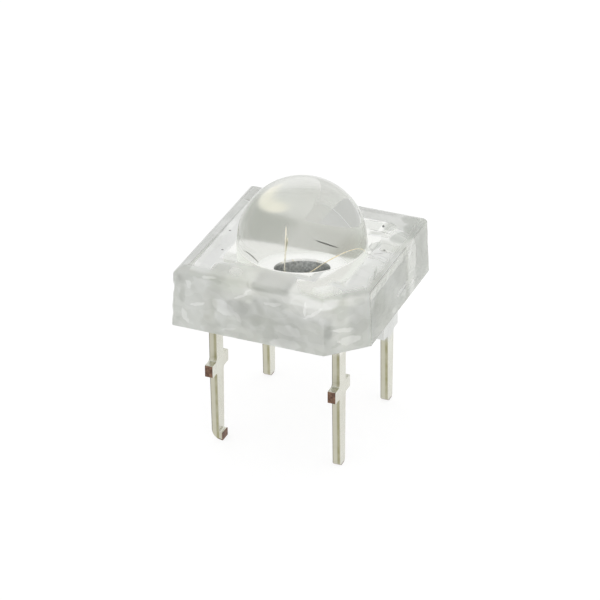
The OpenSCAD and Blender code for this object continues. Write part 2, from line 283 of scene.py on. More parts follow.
def resin_rings(size):
    """Rings of the resin body, from the top of the lens down the walls and in across the base.

    The dome is a sphere, its foot an upright wall with a fillet. The flat top blends the fillet's
    circle into the outline, and the rounded edge, the leaning wall and the base follow it. The
    walls' waves only sink inwards. They are full on the front wall, faint on the others, and die
    out towards the top and the base.
    """
    top = size.base + size.height
    lens_centre = top + size.lens_foot
    lower = corner_centres(size, size.base)
    plain = outline_ring(lower, size.corner)
    turn = np.arctan2(plain[:, 1], plain[:, 0])
    circle = np.stack([np.cos(turn), np.sin(turn)], axis=1)

    rings = []
    for a in np.radians(np.linspace(2, 90, 45)):
        rings.append(lifted(circle * size.lens * np.sin(a), lens_centre + size.lens * np.cos(a)))
    for a in np.radians(np.linspace(0, 90, 5)):
        out = size.lens + size.lens_fillet * (1 - np.cos(a))
        rings.append(lifted(circle * out, top + size.lens_fillet * (1 - np.sin(a))))
    inner = circle * (size.lens + size.lens_fillet)
    rim = outline_ring(corner_centres(size, top, size.top_edge_wide), size.corner)
    for s in (0.05, 0.2, 0.35, 0.5, 0.65, 0.8, 0.95):
        rings.append(lifted(inner * (1 - s) + rim * s, top))
    for a in np.radians(np.linspace(0, 90, 14)):
        height = top - size.top_edge_high * (1 - np.cos(a))
        centres = corner_centres(size, height, size.top_edge_wide * (1 - np.sin(a)))
        rings.append(lifted(outline_ring(centres, size.corner), height))
    under_edge = rings[-1]
    over_base = lifted(plain, size.base)
    floor_share = 1 - size.base_edge / size.height
    along = np.cumsum(np.hypot(*(plain - np.roll(plain, 1, axis=0)).T))
    outward = np.roll(plain, -1, axis=0) - np.roll(plain, 1, axis=0)
    outward = np.column_stack([outward[:, 1], -outward[:, 0], np.zeros(len(plain))])
    outward /= np.linalg.norm(outward, axis=1)[:, None]
    front = 0.15 + 0.85 * np.clip((-2.4 * MM - plain[:, 1]) / (0.8 * MM), 0, 1)
    for s in np.concatenate([[0.01], np.linspace(0.04, 0.96, 45), [0.99]]) * floor_share:
        ring = under_edge * (1 - s) + over_base * s
        height = np.full(len(along), s * size.height)
        swell = waves(along, height, longest=1.2 * MM, shortest=0.42 * MM, count=9, seed=2.2)
        swell = np.minimum(swell - 1, 0) * size.wall_wave * front * min(1, s * 8, (1 - s) * 8)
        rings.append(ring + outward * swell[:, None])
    for a in np.radians(np.linspace(0, 90, 5)):
        ring = outline_ring(lower, size.corner - size.base_edge * (1 - np.cos(a)))
        rings.append(lifted(ring, size.base + size.base_edge * (1 - np.sin(a))))
    border = rings[-1][:, :2]
    for s in np.concatenate([[0.995], np.linspace(0.985, 0.01, 118)]):
        ring = border * s
        x, y = ring.T
        wave = waves(x, y, longest=2.4 * MM, shortest=0.8 * MM, count=9, seed=0.6)
        wave *= size.base_wave * min(1, (1 - s) * 12)
        rings.append(lifted(ring, size.base + wave - flare_depth(size, x, y)))
    return np.array(rings), (0, 0, lens_centre + size.lens), (0, 0, rings[-1][:, 2].mean())


# Colours and marks of the finishes

# Refractive index of the cast resin
RESIN_INDEX = 1.53
# The most glossy bounces of a ray that a material still shades
MOST_BOUNCES = 2
# Radius in millimetres that takes an oval mark through the whole body
ALL_THROUGH = 1000
# How far crinkled coordinates move, and the scale of their noise per metre
CRINKLE = 0.3 * MM
CRINKLE_SCALE = 2500.0
# Fade of the darker patches of haze: where they are gone and where they are full
WIDE_FADE = (1.3, 0.6)

# Painted glow that rays end in, deep inside the resin or on the metal, and the darker glow of
# the painted shade at the rear spot
RESIN_GLOW, RESIN_SHADE_GLOW = (0.84, 0.862, 0.822), (0.53, 0.54, 0.515)
STRIP_GLOW, GOLD_GLOW = (0.78, 0.78, 0.75), (0.6, 0.5, 0.3)

# Painted shade in the resin, the greys of the strip's painted image in the top, and the black
# of specks
RIGHT_WALL_SHADE = (0.5, 0.515, 0.48)
LEFT_ROUNDING_SHADE, REAR_ROUNDING_SHADE = (0.6, 0.61, 0.59), (0.62, 0.63, 0.61)
STRIP_IMAGE_GREY, STRIP_IMAGE_LINE_DARK, CORNER_SHADE = (0.62, 0.64, 0.61), (0.45, 0.46, 0.44), (0.55, 0.57, 0.54)
SPECK_BLACK = (0.02, 0.02, 0.02)

# Colours of the strip inside the resin: painted shade on the plates, the back arm and the rear
# edge, a whiter collar, a painted cream glint, streaks, and the cup's painted shade and glints
PLATE_SHADE_LEFT, PLATE_SHADE_RIGHT, PLATE_DEEP_SHADE = (0.66, 0.665, 0.63), (0.54, 0.54, 0.49), (0.53, 0.54, 0.5)
BACK_ARM_SHADE, REAR_EDGE_SHADE, COLLAR_WHITE = (0.82, 0.83, 0.8), (0.45, 0.45, 0.43), (0.93, 0.93, 0.9)
CREAM_GLINT, STREAK_GREY = (1.0, 0.97, 0.86), (0.12, 0.12, 0.11)
CUP_SHADE, CUP_GLINT = (0.25, 0.26, 0.26), (0.6, 0.61, 0.6)

# Colours of the leads: torn and shadowed edges, and the lead that the resin ran down
TORN_OLIVE, EDGE_SHADOW = (0.36, 0.34, 0.2), (0.3, 0.29, 0.24)
COATED_DARK, COATED_LIGHT = (0.66, 0.67, 0.65), (0.8, 0.81, 0.79)

# Colours of the adhesive
GLUE_LIGHT, GLUE_DARK = (0.8, 0.79, 0.74), (0.68, 0.67, 0.62)

# Oval marks: centre and radii in millimetres, and turn in degrees. On the walls, the centre's
# second number is its height over the body's base.

# Painted light in the hazy front wall: glints and paler patches
FRONT_PAINTED_LIGHT = (
    ((-1.66, 1.22), (0.5, 0.24), -24), ((0.99, 0.78), (0.5, 0.24), -6),
    ((0.83, 0.2), (0.64, 0.2), 3), ((-0.86, 1.88), (0.41, 0.05), 43),
    ((0.34, 1.78), (0.37, 0.08), 13), ((-2.29, 2.33), (0.3, 0.07), 8),
    ((-1.46, 0.32), (0.33, 0.06), 8), ((1.69, 1.84), (0.06, 0.32), 0),
    ((2.0, 1.72), (0.5, 0.07), 40), ((-3.1, 1.88), (0.2, 0.12), -69),
    ((-2.77, 1.14), (0.35, 0.07), 18), ((-1.13, 0.93), (0.27, 0.1), -54),
    ((-3.24, 0.56), (0.3, 0.1), -60), ((2.94, 0.96), (0.3, 0.09), -10),
    ((3.17, 0.45), (0.3, 0.18), 0),
)
# Painted shade in the front wall: darker patches
FRONT_PAINTED_SHADE = (
    ((-2.7, 2.4), (1.0, 0.14), 0), ((-2.1, 2.3), (0.4, 0.1), -18),
    ((-0.68, 2.37), (0.26, 0.05), -52), ((0.18, 0.4), (0.41, 0.2), 68),
    ((-3.35, 1.4), (0.36, 0.12), 78), ((2.62, 1.15), (0.14, 0.1), 0),
    ((-0.35, 0.97), (0.36, 0.24), 2), ((2.82, 0.35), (0.2, 0.07), 27),
)
# Painted glints in the right wall, and then its painted shade in darker patches
RIGHT_PAINTED_LIGHT = (
    ((-1.09, 2.27), (0.3, 0.06), -22), ((1.01, 0.46), (0.22, 0.13), -30),
    ((-0.07, 0.25), (0.22, 0.12), -18), ((1.98, 0.4), (0.5, 0.2), 50),
    ((1.86, 1.91), (0.5, 0.07), 60),
)
RIGHT_PAINTED_SHADE = (
    ((-1.49, 0.95), (0.6, 0.05), -28), ((-1.22, 1.75), (0.95, 0.6), -75),
    ((-1.17, 2.4), (0.5, 0.18), -38), ((0.8, 1.5), (0.9, 0.55), -40),
    ((2.9, 1.9), (0.5, 0.5), 0),
)
# The clear spot in the top's hazy front margin
TOP_CLEAR = (((-1.41, -3.07), (0.33, 0.24), -45),)
# Shade in the top's right corner and along its right side
TOP_DARK = (
    ((3.5, 2.4), (0.6, 0.28), -75), ((3.3, 3.1), (0.5, 0.3), -20),
    ((3.46, -1.19), (0.5, 0.04), -74),
)
# Grey patches and thin lines, a painted image of the strip seen through the right of the top
TOP_STRIP_IMAGE = (
    ((2.68, 2.3), (0.26, 0.34), 30), ((3.4, 1.75), (0.3, 0.55), -20),
    ((2.7, 0.62), (0.2, 0.42), -15),
)
TOP_STRIP_IMAGE_LINES = (
    ((1.99, 2.51), (0.26, 0.035), 8), ((2.48, 1.79), (0.48, 0.03), -2),
    ((2.65, 0.5), (0.39, 0.04), -67), ((3.06, 0.19), (0.17, 0.03), 15),
    ((2.8, -0.07), (0.31, 0.025), -16), ((3.48, 2.19), (0.45, 0.025), -41),
)
# Dark specks in the top
TOP_SPECKS = (
    ((-2.89, -0.26), (0.05, 0.04), 0), ((-2.55, -1.75), (0.05, 0.04), 0),
    ((2.46, 2.25), (0.09, 0.05), -69),
)
# The spot on the inside of the base, at the back, where rays end at once in a painted shade
REAR_PAINTED_SHADE = (((-1.92, 3.45), (0.5, 0.6), 0),)
# Dark streaks, and a painted cream glint, on the cup's plate
PLATE_STREAKS = (((-0.12, 1.385), (0.26, 0.022), -12), ((-1.16, 0.42), (0.32, 0.012), -64))
PLATE_GLINT = (((-1.15, 1.95), (0.14, 0.06), 43),)


# Finishes


def fresh_material(name):
    """An empty node material: the material, its tree and its Principled BSDF."""
    material = bpy.data.materials.new(name)
    material.use_nodes = True
    tree = material.node_tree
    return material, tree, tree.nodes["Principled BSDF"]


def wear(piece, material):
    """Puts one material on a piece, in place of any that it has."""
    piece.data.materials.clear()
    piece.data.materials.append(material)


def feed(tree, socket, value):
    """Gives an input a number, a colour or another node's output."""
    if isinstance(value, bpy.types.NodeSocket):
        tree.links.new(value, socket)
    else:
        socket.default_value = value


def math(tree, operation, *values):
    """One step of arithmetic on numbers or outputs."""
    node = tree.nodes.new("ShaderNodeMath")
    node.operation = operation
    for socket, value in zip(node.inputs, values):
        feed(tree, socket, value)
    return node.outputs["Value"]


def step(tree, value, low, high, start=0.0, stop=1.0):
    """A smooth step of a value, from start at low to stop at high."""
    node = tree.nodes.new("ShaderNodeMapRange")
    node.interpolation_type = "SMOOTHSTEP"
    for key, number in (("From Min", low), ("From Max", high), ("To Min", start), ("To Max", stop)):
        node.inputs[key].default_value = number
    feed(tree, node.inputs["Value"], value)
    return node.outputs["Result"]


def edge(tree, value, low, high, start=0.0, stop=1.0):
    """A smooth step along a length, with low and high in millimetres."""
    return step(tree, value, low * MM, high * MM, start, stop)


def both(tree, *masks):
    """A mask that holds where all of these do: their product."""
    result = masks[0]
    for mask in masks[1:]:
        result = math(tree, "MULTIPLY", result, mask)
    return result


def either(tree, first, second):
    """A mask that holds where one or the other does: the greater of the two."""
    return math(tree, "MAXIMUM", first, second)


def opposite(tree, mask):
    """A mask that holds where this one doesn't."""
    return math(tree, "SUBTRACT", 1.0, mask)


def vector(tree, operation, *values):
    """One step of arithmetic on vectors."""
    node = tree.nodes.new("ShaderNodeVectorMath")
    node.operation = operation
    for socket, value in zip(node.inputs, values):
        feed(tree, socket, value)
    return node.outputs["Value" if operation == "LENGTH" else "Vector"]


def blend(tree, factor, low, high):
    """A number between two others, by a factor."""
    node = tree.nodes.new("ShaderNodeMix")
    for key, value in (("Factor", factor), ("A", low), ("B", high)):
        feed(tree, node.inputs[key], value)
    return node.outputs["Result"]


def tint(tree, factor, low, high):
    """A colour between two others, by a factor."""
    node = tree.nodes.new("ShaderNodeMix")
    node.data_type = "RGBA"
    inputs = [socket for socket in node.inputs if socket.type == "RGBA"]
    feed(tree, node.inputs["Factor"], factor)
    for socket, value in zip(inputs, (low, high)):
        feed(tree, socket, value if isinstance(value, bpy.types.NodeSocket) else (*value, 1))
    return next(socket for socket in node.outputs if socket.type == "RGBA")


def coordinates(tree):
    """Object coordinates, their x, y and z, and the normal's x, y and z."""
    node = tree.nodes.new("ShaderNodeTexCoord")
    place = tree.nodes.new("ShaderNodeSeparateXYZ")
    facing = tree.nodes.new("ShaderNodeSeparateXYZ")
    tree.links.new(node.outputs["Object"], place.inputs["Vector"])
    tree.links.new(node.outputs["Normal"], facing.inputs["Vector"])
    return node.outputs["Object"], list(place.outputs), list(facing.outputs)


def grain_group():
    """The shared grain: noise on stretched object coordinates, spread between two values."""
    group = bpy.data.node_groups.get("grain")
    if group:
        return group
    group = bpy.data.node_groups.new("grain", "ShaderNodeTree")
    group.interface.new_socket("Vector", in_out="INPUT", socket_type="NodeSocketVector")
    group.interface.new_socket("Stretch", in_out="INPUT", socket_type="NodeSocketVector")
    for key in ("Scale", "Detail", "Low", "High"):
        group.interface.new_socket(key, in_out="INPUT", socket_type="NodeSocketFloat")
    group.interface.new_socket("Value", in_out="OUTPUT", socket_type="NodeSocketFloat")
    entry, leave = group.nodes.new("NodeGroupInput"), group.nodes.new("NodeGroupOutput")
    noise = group.nodes.new("ShaderNodeTexNoise")
    stretched = vector(group, "MULTIPLY", entry.outputs["Vector"], entry.outputs["Stretch"])
    group.links.new(stretched, noise.inputs["Vector"])
    group.links.new(entry.outputs["Scale"], noise.inputs["Scale"])
    group.links.new(entry.outputs["Detail"], noise.inputs["Detail"])
    spread = group.nodes.new("ShaderNodeMapRange")
    spread.inputs["From Min"].default_value = 0.3
    spread.inputs["From Max"].default_value = 0.7
    group.links.new(noise.outputs["Fac"], spread.inputs["Value"])
    group.links.new(entry.outputs["Low"], spread.inputs["To Min"])
    group.links.new(entry.outputs["High"], spread.inputs["To Max"])
    group.links.new(spread.outputs["Result"], leave.inputs["Value"])
    return group


def grain(tree, place, scale, low=0.0, high=1.0, detail=2.0, stretch=(1, 1, 1)):
    """The shared grain in a material, at its own scale (per metre) and between its own values."""
    node = tree.nodes.new("ShaderNodeGroup")
    node.node_tree = grain_group()
    values = {
        "Vector": place, "Stretch": stretch, "Scale": scale, "Detail": detail,
        "Low": low, "High": high,
    }
    for key, value in values.items():
        feed(tree, node.inputs[key], value)
    return node.outputs["Value"]


def relief(tree, shader, height, depth):
    """A bump of a height pattern, of a depth in metres, on a shader."""
    node = tree.nodes.new("ShaderNodeBump")
    node.inputs["Strength"].default_value = 1.0
    node.inputs["Distance"].default_value = depth
    feed(tree, node.inputs["Height"], height)
    tree.links.new(node.outputs["Normal"], shader.inputs["Normal"])


def end_deep_rays(tree, shader, colour, dull=None, shade_colour=None):
    """Rays that mirror on and on inside the resin end in a painted glow, an emission that stands in
    for light, not in black.

    Where the mask dull is 1 they end at once, in a darker glow: a painted shade.
    """
    glow = tree.nodes.new("ShaderNodeEmission")
    depth = tree.nodes.new("ShaderNodeLightPath").outputs["Glossy Depth"]
    ended = math(tree, "GREATER_THAN", depth, MOST_BOUNCES + 0.5)
    if dull is None:
        glow.inputs["Color"].default_value = (*colour, 1)
    else:
        tree.links.new(tint(tree, dull, colour, shade_colour), glow.inputs["Color"])
        ended = either(tree, ended, dull)
    mix = tree.nodes.new("ShaderNodeMixShader")
    tree.links.new(ended, mix.inputs["Fac"])
    tree.links.new(shader.outputs["BSDF"], mix.inputs[1])
    tree.links.new(glow.outputs["Emission"], mix.inputs[2])
    tree.links.new(mix.outputs["Shader"], tree.nodes["Material Output"].inputs["Surface"])


def crinkled(tree, place):
    """Coordinates pushed about by noise, so that marks placed on them get uneven outlines."""
    noise = tree.nodes.new("ShaderNodeTexNoise")
    noise.inputs["Scale"].default_value = CRINKLE_SCALE
    tree.links.new(place, noise.inputs["Vector"])
    pushed = vector(tree, "MULTIPLY_ADD", noise.outputs["Color"], (CRINKLE,) * 3, place)
    return vector(tree, "SUBTRACT", pushed, (CRINKLE / 2,) * 3)


def blots(tree, place, plane, marks, none=1.1, full=0.8):
    """Soft oval masks joined into one, on the front, the right or the top.

    Each mark has its centre and radii in millimetres, across the face and upward, and a turn in
    degrees. A distance from its centre counts in its radii, so that it is one on the oval: the
    mask is 1 up to the distance full and 0 from the distance none.
    """
    mask = 0.0
    for (across, upward), (wide, tall), turn in marks:
        if plane == "front":
            values = (across, 0, upward), (wide, ALL_THROUGH, tall), (0, -turn, 0)
        elif plane == "right":
            values = (0, across, upward), (ALL_THROUGH, wide, tall), (turn, 0, 0)
        else:
            values = (across, upward, 0), (wide, tall, ALL_THROUGH), (0, 0, turn)
        node = tree.nodes.new("ShaderNodeMapping")
        node.vector_type = "TEXTURE"
        units = (MM, MM, np.radians(1.0))
        for key, value, unit in zip(("Location", "Scale", "Rotation"), values, units):
            node.inputs[key].default_value = [unit * number for number in value]
        tree.links.new(place, node.inputs["Vector"])
        away = vector(tree, "LENGTH", node.outputs["Vector"])
        mask = either(tree, mask, step(tree, away, none, full))
    return mask


def front_margin(tree, x, y, z, top):
    """A mask of the top's front margin, where the resin is as hazy as the walls.

    Its inner border runs from side to side and turns towards the front on the far left. A slanted
    line ends the margin on the right.
    """
    slant = edge(tree, math(tree, "MULTIPLY_ADD", y, 0.66, x), -0.88, -0.96)
    left = math(tree, "MINIMUM", math(tree, "ADD", x, 1.5 * MM), 0.0)
    bend = math(tree, "MULTIPLY_ADD", left, -0.4, y)
    inner = both(tree, edge(tree, bend, -2.36, -2.5), edge(tree, x, -2.4, -2.25))
    rim = edge(tree, y, -3.2, -3.32)
    flat = step(tree, z, top + 0.03 * MM, top + 0.01 * MM)
    return both(tree, either(tree, inner, rim), slant, flat)


def base_margin(tree, x, y):
    """A mask of the base's front and right margins, where the resin has crept up the mould."""
    front = both(tree, edge(tree, y, -0.7, -1.0), edge(tree, x, 1.2, 1.0))
    corner = edge(tree, math(tree, "MULTIPLY_ADD", y, -0.42, x), 2.6, 2.9)
    right = edge(tree, math(tree, "MULTIPLY_ADD", y, 0.1, x), 2.68, 2.76)
    return either(tree, front, either(tree, corner, right))


def top_colours(tree, colour, place, uneven, x, y, upward):
    """The resin's colour with the painted shade of the top's roundings and the marks in the top: a
    painted image of the strip in grey patches and lines, painted shade in its right corner, and
    specks.

    The lines and the shade lie on uneven coordinates, the patches and the specks on plain ones.
    """
    # Painted shade on the top's left and rear roundings
    left = both(tree, edge(tree, x, -3.1, -3.16), edge(tree, x, -3.64, -3.56), upward)
    colour = tint(tree, left, colour, LEFT_ROUNDING_SHADE)
    across = both(tree, edge(tree, x, 3.0, 2.4), edge(tree, x, -0.7, -0.3))
    rear = both(tree, edge(tree, y, 3.1, 3.2), edge(tree, y, 3.64, 3.56), across, upward)
    colour = tint(tree, rear, colour, REAR_ROUNDING_SHADE)
    # The strip's painted image, the painted shade of the right corner, and the specks
    for where, marks, full, grey in (
        (place, TOP_STRIP_IMAGE, 0.9, STRIP_IMAGE_GREY),
        (uneven, TOP_STRIP_IMAGE_LINES, 0.8, STRIP_IMAGE_LINE_DARK),
        (uneven, TOP_DARK, 0.8, CORNER_SHADE),
        (place, TOP_SPECKS, 0.8, SPECK_BLACK),
    ):
        mask = both(tree, blots(tree, where, "top", marks, full=full), upward)
        colour = tint(tree, mask, colour, grey)
    return colour


def clear_resin(colours, size):
    """Clear cast resin: its lens and top are polished, its walls and its front are hazy.

    The haze's tint is mottled by a wide and a fine grain and lighter on the back and left walls.
    Pale and dark ovals are painted light and painted shade in the front and right walls, and the
    right wall is painted darker all over. The top gets painted shade and a painted image of the
    strip.
    """
    material, tree, shader = fresh_material("clear_resin")
    shader.inputs["IOR"].default_value = RESIN_INDEX
    shader.inputs["Transmission Weight"].default_value = 1.0
    place, (x, y, z), facing = coordinates(tree)
    place = vector(tree, "SUBTRACT", place, (0, 0, size.base))
    uneven = crinkled(tree, place)
    top = size.base + size.height

    upward = step(tree, facing[2], 0.3, 0.5)
    right = step(tree, facing[0], 0.8, 0.9)
    front = step(tree, facing[1], -0.05, -0.15)
    below_top = step(tree, z, top - 0.01 * MM, top - 0.12 * MM)
    wall = both(tree, below_top, step(tree, facing[2], -0.9, -0.6))
    under = both(tree, step(tree, facing[2], -0.6, -0.9), base_margin(tree, x, y))
    haze = either(tree, wall, under)
    clear = blots(tree, place, "top", TOP_CLEAR)
    margin = both(tree, front_margin(tree, x, y, z, top), opposite(tree, clear))

    wide = step(tree, grain(tree, place, 650.0, detail=1.0), 0.42, 0.58)
    fine = step(tree, grain(tree, place, 1300.0, detail=1.0, stretch=(1, 1, 1.6)), 0.46, 0.56)
    mottle = math(tree, "MULTIPLY_ADD", wide, 0.2, math(tree, "MULTIPLY_ADD", fine, 0.2, 0.48))
    # The tint is lighter on the back and left walls; on the right wall it is dense all over, part
    # of its painted shade
    not_back = step(tree, facing[1], 0.3, 0.6, 1.0, 0.4)
    not_left = step(tree, facing[0], -0.3, -0.6, 1.0, 0.4)
    mottle = either(tree, both(tree, mottle, not_back, not_left), both(tree, right, 0.9))

    # Painted light: glints and paler patches in the front wall, and glints in the right wall
    pale_front = both(tree, front, blots(tree, uneven, "front", FRONT_PAINTED_LIGHT))
    pale_right = both(tree, right, blots(tree, uneven, "right", RIGHT_PAINTED_LIGHT))
    # Painted shade: darker patches in the front wall
    dark = both(tree, front, blots(tree, uneven, "front", FRONT_PAINTED_SHADE, *WIDE_FADE))
    density = math(tree, "MULTIPLY_ADD", dark, 0.4, mottle)
    density = both(tree, density, opposite(tree, either(tree, pale_front, pale_right)), haze)
    density = either(tree, density, both(tree, margin, wide, 0.25))
    colour = tint(tree, density, colours.resin, colours.haze)
    # The right wall is painted darker, a painted shade that is deepest in its darker patches
    shade = either(tree, 0.3, blots(tree, uneven, "right", RIGHT_PAINTED_SHADE, *WIDE_FADE))
    colour = tint(tree, both(tree, haze, right, shade), colour, RIGHT_WALL_SHADE)
    colour = top_colours(tree, colour, place, uneven, x, y, upward)
    feed(tree, shader.inputs["Base Color"], colour)

    rough = blend(tree, right, grain(tree, place, 700.0, 0.31, 0.42), 0.1)
    feed(tree, shader.inputs["Roughness"], both(tree, either(tree, haze, margin), rough))
    # Rays that reach the rear spot, low on the base, end there in a painted shade
    low = step(tree, z, size.base + 0.4 * MM, size.base + 0.2 * MM)
    dull = both(tree, blots(tree, place, "top", REAR_PAINTED_SHADE), upward, low)
    end_deep_rays(tree, shader, RESIN_GLOW, dull, RESIN_SHADE_GLOW)
    return material


def sealed_face(tree, face, place, x, y, z, rear_edge, inside):
    """The colour of the strip's faces, with the painted light and shade that they show in the
    resin.

    The plates behind the cup and the front arms get a painted shade, darker to the right of the cup
    and at its far left; the plate beside the cup is whiter. The cup's floor is a painted shade with
    speckled painted glints, and the cup's mask comes with the colour.
    """
    squares = math(tree, "MULTIPLY", x, x), math(tree, "MULTIPLY", y, y)
    span = math(tree, "SQRT", math(tree, "ADD", *squares))
    # Painted shade on the plates behind the cup and on the front arms, darker to the right
    plate_shade = both(
        tree, edge(tree, span, 1.0, 1.05), edge(tree, y, 0.95, 1.12),
        edge(tree, y, 2.1, 1.7, 0.5, 1.0), edge(tree, x, 1.35, 1.25))
    front_arms = both(tree, edge(tree, y, -1.9, -2.0), edge(tree, x, 0.6, 0.5), 0.5)
    plate_shade = both(tree, either(tree, plate_shade, front_arms), inside)
    plate_shade_colour = tint(tree, edge(tree, x, -0.1, 0.25), PLATE_SHADE_LEFT, PLATE_SHADE_RIGHT)
    face = tint(tree, plate_shade, face, plate_shade_colour)
    # Painted shade on the back arm
    arm = both(
        tree, edge(tree, y, 2.32, 2.38), edge(tree, y, 3.02, 2.96), edge(tree, x, 2.22, 2.16),
        inside)
    face = tint(tree, arm, face, BACK_ARM_SHADE)
    # More painted shade on the far left of the plate behind the cup
    shade = both(
        tree, edge(tree, x, -2.0, -1.7), edge(tree, x, -0.7, -1.0),
        edge(tree, y, 1.05, 1.2), edge(tree, y, 1.95, 1.75))
    face = tint(tree, shade, face, PLATE_DEEP_SHADE)
    # A painted cream glint on the plate
    face = tint(tree, blots(tree, place, "top", PLATE_GLINT, 1.7, 0.4), face, CREAM_GLINT)
    # Painted shade on the rear edge faces
    face = tint(tree, rear_edge, face, REAR_EDGE_SHADE)
    collar = both(
        tree, edge(tree, span, 1.0, 1.03), edge(tree, y, 1.12, 0.95),
        edge(tree, x, -1.95, -1.8), edge(tree, x, -0.2, -0.4), inside)
    face = tint(tree, collar, face, COLLAR_WHITE)
    streaks = both(tree, blots(tree, place, "top", PLATE_STREAKS), inside)
    face = tint(tree, streaks, face, STREAK_GREY)
    cup = both(
        tree, edge(tree, span, 0.68, 0.66), step(tree, z, PLATE_TOP, PLATE_TOP - 0.03 * MM))
    # The cup's floor: a painted shade, speckled with painted glints
    floor = tint(tree, grain(tree, place, 22000.0), CUP_SHADE, CUP_GLINT)
    return tint(tree, cup, face, floor), cup


def sheared_face(tree, colours, place, x, drawn, size):
    """The colour of the edges that the stamp sheared, with a torn stripe and a shadowed side."""
    middle = math(tree, "MULTIPLY", math(tree, "SIGN", x), size.lead_pitch / 2)
    across = math(tree, "SUBTRACT", x, middle)
    shear = tint(tree, drawn, colours.sheared, colours.worn)
    stripe = both(tree, edge(tree, across, 0.0, 0.07), edge(tree, across, 0.15, 0.12))
    stripe = both(tree, stripe, grain(tree, place, 2500.0, 0.5))
    shear = tint(tree, stripe, shear, TORN_OLIVE)
    return tint(tree, edge(tree, across, -0.12, -0.145), shear, EDGE_SHADOW)


def cut_ends(tree, x, y, z, facing, size):
    """A mask of the bare copper: the tie bar stubs' ends, the lead tips and the bent tip."""
    from_middle = math(tree, "SUBTRACT", math(tree, "ABSOLUTE", y), size.lead_pitch / 2)
    from_middle = math(tree, "ABSOLUTE", from_middle)
    outward = edge(tree, math(tree, "MULTIPLY", y, facing[1]), 0.5, 1.0)
    stub = both(
        tree, edge(tree, from_middle, 0.72, 0.74), edge(tree, z, 3.8, 3.7),
        edge(tree, z, 3.0, 3.05), outward)
    bent_tip = both(
        tree, edge(tree, x, -2.3, -2.25), edge(tree, x, -1.8, -1.9), edge(tree, z, 0.5, 0.45))
    tip = either(tree, bent_tip, edge(tree, z, 0.06, 0.02))
    return either(tree, stub, tip)


def plated_strip(colours, size):
    """Plated strip: bright on its faces, tan where it was sheared, bare copper where it was cut."""
    material, tree, shader = fresh_material("plated_strip")
    shader.inputs["Metallic"].default_value = 1.0
    place, (x, y, z), facing = coordinates(tree)
    outside = step(tree, z, size.base - 0.1 * MM, size.base - 0.6 * MM)
    inside = opposite(tree, outside)
    sideways = math(tree, "ABSOLUTE", facing[1])
    sheared = both(tree, step(tree, sideways, 0.5, 0.8), outside)
    # The rear edge faces inside the resin: a painted shade, and rougher
    rear_edge = both(
        tree, step(tree, sideways, 0.5, 0.7), edge(tree, x, 0.9, 0.8), edge(tree, y, 1.7, 1.8),
        inside)
    bare = cut_ends(tree, x, y, z, facing, size)
    drawn = grain(tree, place, 3000.0, detail=3.0, stretch=(1, 1, 0.12))
    cloud = grain(tree, place, 700.0)
    speck = grain(tree, place, 9000.0, detail=4.0)

    face = tint(tree, cloud, colours.plating, colours.worn)
    face = tint(tree, both(tree, outside, 0.8), colours.inner, face)
    face, cup = sealed_face(tree, face, place, x, y, z, rear_edge, inside)
    colour = tint(tree, sheared, face, sheared_face(tree, colours, place, x, drawn, size))
    back_right = both(tree, edge(tree, x, 0.0, 1.0), edge(tree, y, 0.0, 1.0))
    coated = both(tree, back_right, edge(tree, z, 2.7, 3.1), outside)
    colour = tint(tree, coated, colour, tint(tree, cloud, COATED_DARK, COATED_LIGHT))
    colour = tint(tree, bare, colour, tint(tree, speck, colours.copper, colours.tarnish))
    feed(tree, shader.inputs["Base Color"], colour)

    rough_face = grain(tree, place, 1500.0, 0.2, 0.34)
    rough = blend(tree, sheared, rough_face, grain(tree, place, 4000.0, 0.3, 0.5))
    sealed = blend(tree, rear_edge, grain(tree, place, 700.0, 0.06, 0.14), 0.6)
    rough = blend(tree, cup, blend(tree, outside, sealed, rough), 0.35)
    feed(tree, shader.inputs["Roughness"], blend(tree, bare, rough, 0.5))
    height = both(tree, blend(tree, bare, drawn, speck), outside)
    relief(tree, shader, height, 0.004 * MM)
    end_deep_rays(tree, shader, STRIP_GLOW)
    return material


def bright_gold(colours):
    """Bright drawn gold of the wires, balls and pads, pale in a grain and pale all over on the
    left, where the pale is a painted highlight.
    """
    material, tree, shader = fresh_material("bright_gold")
    place, (x, _, _), _ = coordinates(tree)
    # Pale in a grain, and pale all over on the left: a painted highlight
    pale = either(tree, grain(tree, place, 6000.0), edge(tree, x, 0.0, -0.1))
    feed(tree, shader.inputs["Base Color"], tint(tree, pale, colours.gold, colours.pale_gold))
    shader.inputs["Metallic"].default_value = 1.0
    feed(tree, shader.inputs["Roughness"], grain(tree, place, 9000.0, 0.15, 0.3))
    end_deep_rays(tree, shader, GOLD_GLOW)
    return material


def die_crystal(colours):
    """Sawn and polished die."""
    material, tree, shader = fresh_material("die_crystal")
    place, _, _ = coordinates(tree)
    cloud = grain(tree, place, 12000.0)
    feed(tree, shader.inputs["Base Color"], tint(tree, cloud, colours.die, colours.haze))
    shader.inputs["Metallic"].default_value = 0.6
    feed(tree, shader.inputs["Roughness"], grain(tree, place, 8000.0, 0.1, 0.25))
    return material


def die_glue():
    """Cured adhesive, slightly lumpy."""
    material, tree, shader = fresh_material("die_glue")
    place, _, _ = coordinates(tree)
    lump = grain(tree, place, 9000.0)
    feed(tree, shader.inputs["Base Color"], tint(tree, lump, GLUE_LIGHT, GLUE_DARK))
    feed(tree, shader.inputs["Roughness"], grain(tree, place, 7000.0, 0.4, 0.6))
    relief(tree, shader, lump, 0.002 * MM)
    return material


# Operators


class LED_OT_resin_body(bpy.types.Operator):
    """Make the clear resin body with its lens"""

    bl_idname = "led.resin_body"
    bl_label = "Resin Body"

    def execute(self, context):
        rings, top, bottom = resin_rings(context.scene.led_body)
        piece = mesh_piece("resin_body", rings, top, bottom)
        wear(piece, clear_resin(context.scene.led_colours, context.scene.led_body))
        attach(piece, "root")
        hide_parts("epoxy_body")
        return {"FINISHED"}


